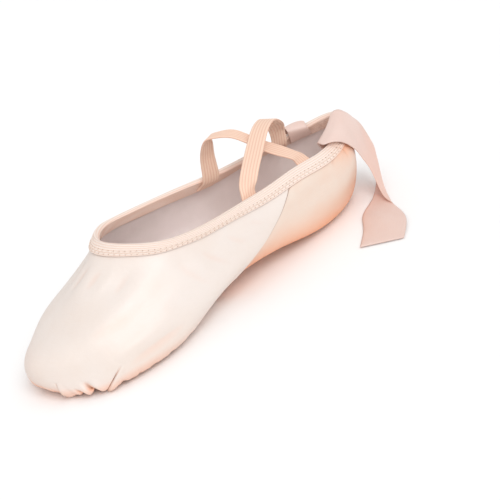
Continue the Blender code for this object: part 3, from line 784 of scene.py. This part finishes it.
def make_lining(finishes):
    """The cotton inside the satin, from the insole's edge up under the binding."""
    around, rows, girth_row = 320, 48, 30
    stations = np.arange(around + 1) * STATIONS / around
    tops = level_below_collar(stations, TUCKED_UNDER)
    levels = np.array([np.linspace(0.55, top, rows + 1) for top in tops])
    ss = np.repeat(stations[:, None], rows + 1, axis=1)
    bare, normal = last_at(ss, levels), outward(ss, levels)
    up, ring = walked(bare, 1), walked(bare[:, girth_row])
    inward = bare - tuck_room(ss, levels)[..., None] * normal
    outer, inner = (inward - depth * normal for depth in LINING_FACES)
    grid_piece("cotton_lining", ("lining", "upper"), outer, inner, finishes["lining"],
               laid_out(ring[:, None], up), closed=True)


def make_insole(finishes):
    """The cotton sock, thinner at its turned-up edge."""
    around, rows = 128, 20
    stations = np.arange(around + 1) * STATIONS / around
    ss, ll = np.meshgrid(stations, np.linspace(0.0, INSOLE_EDGE, rows + 1), indexing="ij")
    bare, normal = last_at(ss, ll), outward(ss, ll)
    thick = INSOLE_THICK - np.where(ll > 1.6, 0.4, 0.0)
    under = bare - (tuck_room(ss, ll) + INSOLE_SEAT)[..., None] * normal
    grid_piece("insole_sock", ("lining", "insole"), under, under - thick[..., None] * normal,
               finishes["lining"], bare[..., :2], closed=True)


# -------- the collar's binding
SIDE_STEPS, OVER_STEPS = 30, 12  # of the section, down one side and over the top
FOLD_TOP = SIDE_STEPS + OVER_STEPS // 2
BINDING_RIBS, RIB_HIGH = 6, 0.14


def binding_section():
    """Round the folded binding: how far down it is (a share of its reach, then mm over the edge)
    and how far out, from the outer edge over the collar to the inner edge and back inside."""
    near, far = BINDING_CLEAR, -BINDING_SEAT - BINDING_CLEAR
    middle, reach = (near + far) / 2, (near - far) / 2 + BINDING_THICK
    outer = []
    for k in range(SIDE_STEPS + 1):
        share = 1 - k / SIDE_STEPS
        ridge = math.cos(2 * math.pi * BINDING_RIBS * share) if 0 < k < SIDE_STEPS else -1
        outer.append((share, 0.0, near + BINDING_THICK + RIB_HIGH * ridge))
    over = []
    for k in range(1, OVER_STEPS):
        turn = math.pi * k / OVER_STEPS
        over.append((0.0, (0.35 * reach + 0.1) * math.sin(turn), middle + reach * math.cos(turn)))
    inside = [(1 - share, 0.0, 2 * middle - out) for share, _, out in outer]
    hidden = [(1.0, 0.0, far), (0.6, 0.0, far), (0.15, 0.0, far), (0.0, 0.0, middle),
              (0.15, 0.0, near), (0.6, 0.0, near), (1.0, 0.0, near)]
    return outer + over + inside + hidden


def puckered(stations):
    """How far the binding puckers out where the ribbons draw it in, in mm."""
    near, back = bell((stations - 7.2) / 0.42), bell((stations - 8.35) / 0.42)
    far = bell((stations - 9.3) / 0.3)
    return 0.3 * (near + 0.8 * back + 0.5 * far) * np.sin(2 * math.pi * stations / 0.19)


def rolled(stations):
    """How much fuller the binding is round the back of the heel, where it rolls over."""
    return 0.55 * bell((stations - HEEL - 0.25) / 0.5)


def make_binding(finishes):
    """The ribbed elastic folded over the collar, fuller and puckered at the back."""
    around = 400
    stations = np.arange(around + 1) * STATIONS / around
    section = binding_section()
    middle, edge = -BINDING_SEAT / 2, BINDING_THICK + GAP
    reach = binding_reach(stations)
    top = last_at(stations, float(COLLAR))
    low = last_at(stations, level_below_collar(stations, edge))
    upward = unit(top - low)
    grid = []
    for share, rise, out in section:
        level = level_below_collar(stations, edge + share * (reach - edge))
        fuller = puckered(stations) * math.sin(math.pi * share) ** 0.5 + rolled(stations) * (1 - share)
        stand = (out + math.copysign(1, out - middle) * fuller * (abs(out - middle) > 1))[:, None]
        raised = (rise * (1 + 1.5 * rolled(stations)))[:, None]
        grid.append(last_at(stations, level) + stand * outward(stations, level) + raised * upward)
    grid = np.array(grid + grid[:1]).transpose(1, 0, 2)
    # painted shade, which the warm mark carries: in the puckers where the near ribbon draws the binding in,
    # and over the binding's inside face
    pucker_shade = 0.45 * bell((stations - 7.2) / 0.3)
    inside = np.where(np.arange(len(section) + 1) > FOLD_TOP, 0.30, 0.0)
    grid_piece("elastic_binding", ("elastic", "collar_binding"), grid, None, finishes["binding"],
               laid_out(walked(top)[:, None], walked(grid, 1)), closed=True,
               marks={"warm_shade": pucker_shade[:, None] + inside})


def make_binding_stitches(finishes):
    """A zigzag along the binding's outer edge, with a dark bead sunk at each turn: painted shade of a needle
    hole.
    """
    pitch, inner_turn, outer_turn = 3.0, 3.3, 0.9
    fine = np.linspace(0, STATIONS, 2401)
    length = walked(last_at(fine, level_below_collar(fine, binding_reach(fine) - 2.0)))
    count = 2 * int(length[-1] / pitch)
    spots = np.interp(np.linspace(0, length[-1], count + 1), length, fine)
    up_from_edge = np.where(np.arange(count + 1) % 2 == 0, outer_turn, inner_turn)
    level = level_below_collar(spots, binding_reach(spots) - up_from_edge)
    normal = outward(spots, level)
    points = last_at(spots, level) + (BINDING_CLEAR + BINDING_THICK + 0.16) * normal
    runs = zip(points[:-1], points[1:])
    make_thread("binding_zigzag", "elastic", runs, 0.15, finishes["peach_thread"])
    # dark beads at each turn, painted shade in the needle holes
    sunk = (points - 0.14 * normal)[:-1]
    make_thread("needle_holes", "elastic", zip(sunk, sunk + (0, 0.1, 0)), 0.26, finishes["hole"])


# -------- the suede pads
PAD_RINGS = (0.0, 0.3, 0.55, 0.75, 0.86, 0.92, 0.955, 0.98, 0.994, 1.0)
PAD_EDGE = (0, 0, 0, 0, 0, 0, 0.02, 0.09, 0.22, 0.45)  # how much the edge is worn off at each ring
STITCH_ROWS = {"sole_forefoot": (2.8, 6.3), "sole_heel": (2.4, 5.2)}


def pad_outline(name, turn, ring):
    """Across and along places round a pad, at a ring's share of its size."""
    front_end, rear_end, half_width, fuller = PADS[name]
    middle, reach = (front_end + rear_end) / 2, (rear_end - front_end) / 2
    along = middle - ring * reach * np.cos(turn)
    across = ring * half_width * np.sin(turn) * (1 + fuller * ring * np.cos(turn))
    return across, along


def make_pad(name, finishes):
    """A suede pad with a worn edge."""
    sides, worn = 144, np.array(PAD_EDGE)
    turn = 2 * math.pi * np.arange(sides + 1)[:, None] / sides
    across, along = pad_outline(name, turn, np.array(PAD_RINGS))
    top = arch_height(along) - GAP
    upper = np.stack([across, along, top - worn], axis=-1)
    under = np.stack([across, along, top - (PAD_THICK - LOW_ON_PAD) + worn], axis=-1)
    grid_piece(name.replace("sole", "suede"), ("suede", name), under, upper, finishes["suede"],
               upper[..., :2], closed=True)


def make_pad_stitches(name, finishes):
    """Two rows of running stitches round the pad, inside its edge."""
    stitch_pitch, share_sewn, low = 2.1, 0.68, GAP + PAD_THICK - 0.23
    edge = np.stack(pad_outline(name, np.linspace(0, 2 * math.pi, 1441), 1.0), axis=1)
    tangent = unit(np.gradient(edge, axis=0))
    inward = np.stack([-tangent[:, 1], tangent[:, 0]], axis=1)
    runs = []
    for inset in STITCH_ROWS[name]:
        line = edge + inset * inward
        length = walked(line)
        count = int(length[-1] / stitch_pitch)
        pitch = length[-1] / count
        for k in range(count):
            spots = np.array((k, k + share_sewn)) * pitch
            x, y = (np.interp(spots, length, line[:, i]) for i in (0, 1))
            runs.append(np.stack([x, y, arch_height(y) - low], axis=1))
    make_thread(name.replace("sole", "stitches"), "suede", runs, 0.22, finishes["pale_thread"])


# -------- elastics and ribbons
def through(rows, steps):
    """A smooth open curve through the rows of a table, read at the given number of steps."""
    controls = open_controls(rows, 2 * rows[0] - rows[1], 2 * rows[-1] - rows[-2])
    points = []
    for where in np.linspace(0, len(rows) - 1, steps):
        span = min(int(where), len(rows) - 2)
        weight = basis(where - span)
        points.append(sum(weight[i] * controls[span + i] for i in range(4)))
    return np.array(points)


def sewn_rungs(place, thickness, points):
    """Rungs across a band's end, flat against the inside of the binding, from the bottom up."""
    first, last, count = place
    inset = COLLAR_WALL + BINDING_THICK + 2 * GAP + thickness / 2
    return [[collar_point(station, below, inset + clear) for station in np.linspace(first, last, points)]
            for below, clear in SEWN[:count]]


def rung(row, points):
    """A rung across a band from its front edge to its back edge, by way of its middle if given."""
    first, last, *middle = np.array(row, float)
    middle = middle[0] if middle else (first + last) / 2
    return [first * (1 - q) * (1 - 2 * q) + middle * 4 * q * (1 - q) + last * q * (2 * q - 1)
            for q in np.linspace(0, 1, points)]


def band_grid(rungs, steps):
    """A band's middle surface, a smooth curve through each point of its rungs, with its normals
    and how far along the band each row lies."""
    rungs = np.array(rungs, float)
    grid = np.stack([through(rungs[:, q], steps) for q in range(rungs.shape[1])], axis=1)
    normal = unit(np.cross(np.gradient(grid, axis=0), np.gradient(grid, axis=1)))
    return grid, normal, walked(grid[:, grid.shape[1] // 2])


def band_piece(name, stands_for, band, half_thick, across, finish, marks=None):
    """A strap or ribbon, from its middle surface, half its thickness and places across the cloth."""
    grid, normal = (part.transpose(1, 0, 2) for part in band[:2])
    thick = half_thick[:, None, None] * normal
    return grid_piece(name, stands_for, grid + thick, grid - thick, finish,
                      laid_out(band[2], across[:, None]), marks=marks)


def make_strap(name, finishes):
    """A ribbed elastic over the instep, thinner between its ribs and at its edges."""
    start, rows, end = STRAPS[name]
    points, steps, ribs = 37, 110, 6
    rungs = sewn_rungs(start, STRAP_THICK, points)
    for x, along, height, turn, tilt in rows:
        turn = math.radians(turn)
        half = np.array((STRAP_WIDE * math.sin(turn), STRAP_WIDE * math.cos(turn), -tilt)) / 2
        centre = np.array((x, along, height))
        rungs.append(rung((centre - half, centre + half), points))
    rungs += sewn_rungs(end, STRAP_THICK, points)[::-1]
    share = np.linspace(0, 1, points)
    edge = held(np.minimum(share, 1 - share) * ribs * 2) ** 0.5
    groove = 1 - np.abs(np.sin(math.pi * ribs * share))
    half_thick = STRAP_THICK / 2 * (0.45 + 0.55 * edge) - 0.10 * groove
    across = (share - 0.5) * STRAP_WIDE + STRAP_WIDE / ribs / 2  # whole pitches at the ribs' tops
    band_piece(name.replace("strap", "elastic"), ("elastic", name), band_grid(rungs, steps), half_thick,
               across, finishes["strap"])


def make_ribbon(name, sewn, rows, steps, finishes):
    """A satin ribbon, slightly wavy where it hangs free, warmer with painted bounced light and shade where
    it bends to the floor.
    """
    points = 25
    rungs = sewn_rungs(sewn, RIBBON_ROOM, points) + [rung(row, points) for row in rows]
    grid, normal, length = band_grid(rungs, steps)
    share = np.linspace(0, 1, points)
    waves = np.sin(2 * math.pi * (1.4 * share[None, :] + length[:, None] / 31))
    swell = 0.3 * waves * np.sin(math.pi * share)[None, :]
    free = held((length - 18) / 12)[:, None] * held(grid[..., 2] - 2)
    grid = grid + (swell * free)[..., None] * normal
    half_thick = RIBBON_THICK / 2 * np.where((share < 0.02) | (share > 0.98), 0.6, 1.0)
    # an even warm tone over the whole ribbon, plus painted bounced light and shade round its bend down to
    # the floor
    warm_shade = 0.12 + 0.42 * bell((length - 76) / 28)
    piece = band_piece("satin_" + name, ("ribbon", name), (grid, normal, length), half_thick,
                       share * RIBBON_WIDE, finishes["ribbon"], {"warm_shade": np.tile(warm_shade, (points, 1))})


# -------- floor, light
def make_floor():
    form = bmesh.new()
    bmesh.ops.create_grid(form, x_segments=1, y_segments=1, size=30.0)
    finish = Finish("floor", (0.97, 0.97, 0.97), 0.6)
    speck = finish.noise(finish.place(), 0.01, 2.0)
    finish.colour(finish.blend(speck, (0.97, 0.97, 0.97), (0.98, 0.98, 0.98)))
    floor = link_mesh("floor", form, finish.material)


def soft_sun(name, place, strength, spread):
    """A large soft light, from the direction of the place, even over the whole floor."""
    lamp = bpy.data.lights.new(name, "SUN")
    lamp.energy, lamp.angle = strength, math.radians(spread)
    item = bpy.data.objects.new(name, lamp)
    item.location = place
    item.rotation_euler = Vector(place).to_track_quat("Z", "Y").to_euler()
    bpy.context.scene.collection.objects.link(item)


def make_light():
    world = bpy.data.worlds.new("studio")
    world.use_nodes = True
    background = world.node_tree.nodes["Background"].inputs
    background["Color"].default_value = (1.0, 1.0, 1.0, 1.0)
    background["Strength"].default_value = 0.78
    bpy.context.scene.world = world
    soft_sun("right_key", (1.7, -0.35, 1.9), 1.08, 40)
    soft_sun("overhead", (0.25, -0.1, 2.3), 0.15, 80)
    bpy.context.scene.view_settings.view_transform = "Standard"


def main():
    place_camera()
    make_floor()
    make_light()
    finishes = make_materials()
    make_vamp(finishes)
    make_heel_part(finishes)
    make_arch_stitches(finishes)
    make_lining(finishes)
    make_insole(finishes)
    make_binding(finishes)
    make_binding_stitches(finishes)
    for name in PADS:
        make_pad(name, finishes)
        make_pad_stitches(name, finishes)
    for name in STRAPS:
        make_strap(name, finishes)
    make_ribbon("ribbon_near", NEAR_SEWN, NEAR_ROWS, 180, finishes)
    make_ribbon("ribbon_far", FAR_SEWN, FAR_ROWS, 200, finishes)


main()
